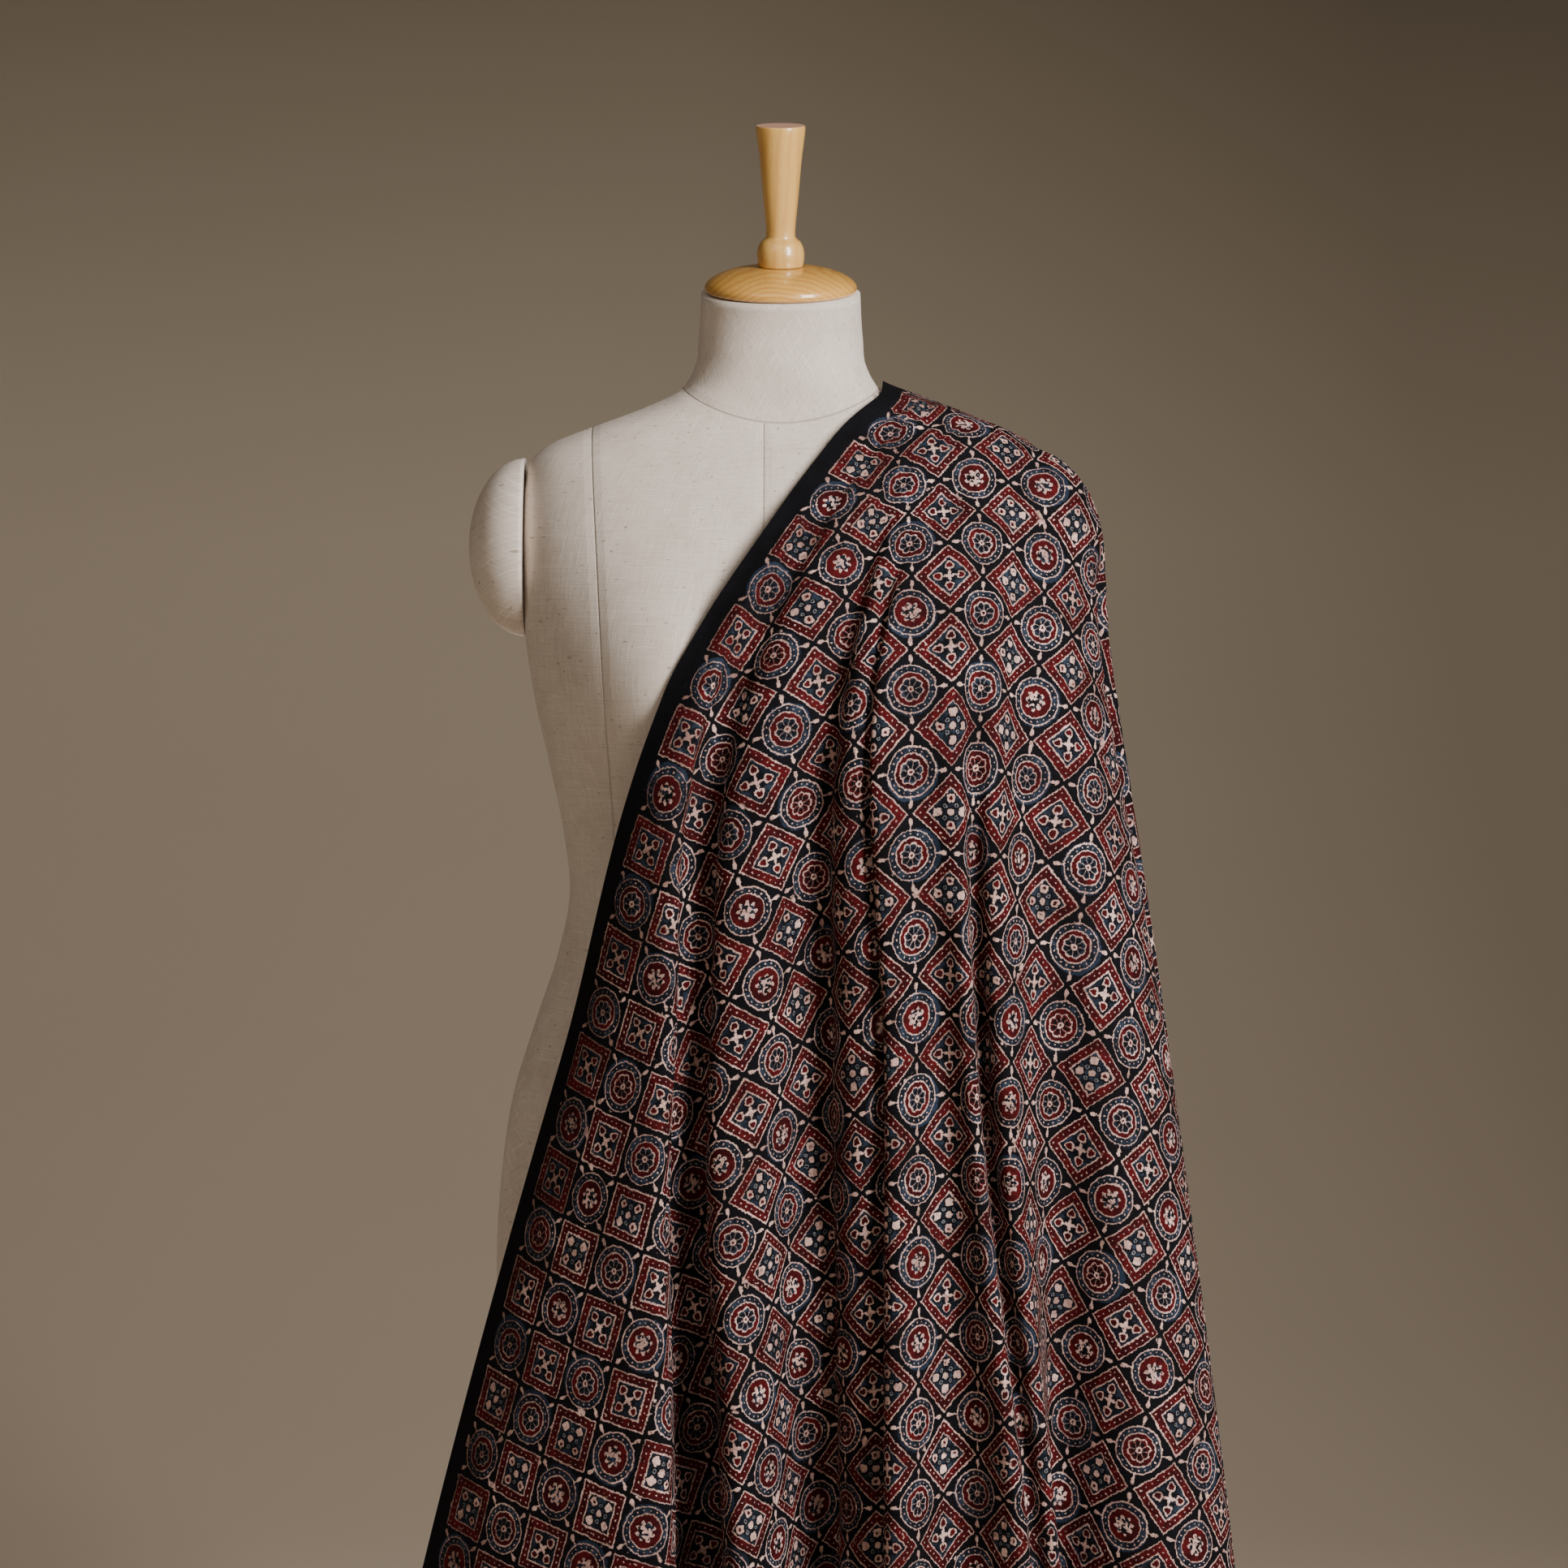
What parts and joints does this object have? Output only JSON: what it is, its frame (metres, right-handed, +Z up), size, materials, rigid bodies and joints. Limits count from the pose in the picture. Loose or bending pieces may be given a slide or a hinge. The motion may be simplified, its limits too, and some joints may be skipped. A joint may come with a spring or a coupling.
{
  "type": "ajrakh cloth draped on a dress form",
  "caption": "Block printed cotton cloth hanging in soft folds from one shoulder of a linen covered dress form with a turned wood finial, on a plain round stand.",
  "frame": {"origin": "centre of the stand's flat underside, on the floor", "axes": "+Z up, the front of the form faces -Y, the draped shoulder is on +X"},
  "size_m": [0.589, 0.499, 1.6042],
  "materials": {
    "printed_cotton": "matt block printed cotton, black, madder red, indigo and cream",
    "linen_cover": "plain slub linen",
    "varnished_wood": "clear varnish",
    "painted_steel": "satin"
  },
  "bodies": {
    "root": {"ajrakh_cloth": "printed_cotton", "torso": "linen_cover", "arm_stub_left": "linen_cover", "arm_stub_right": "linen_cover", "neck_cap": "varnished_wood", "finial": "varnished_wood", "base_plate": "varnished_wood", "pole": "painted_steel", "stand_base": "varnished_wood"}
  },
  "joints": []
}
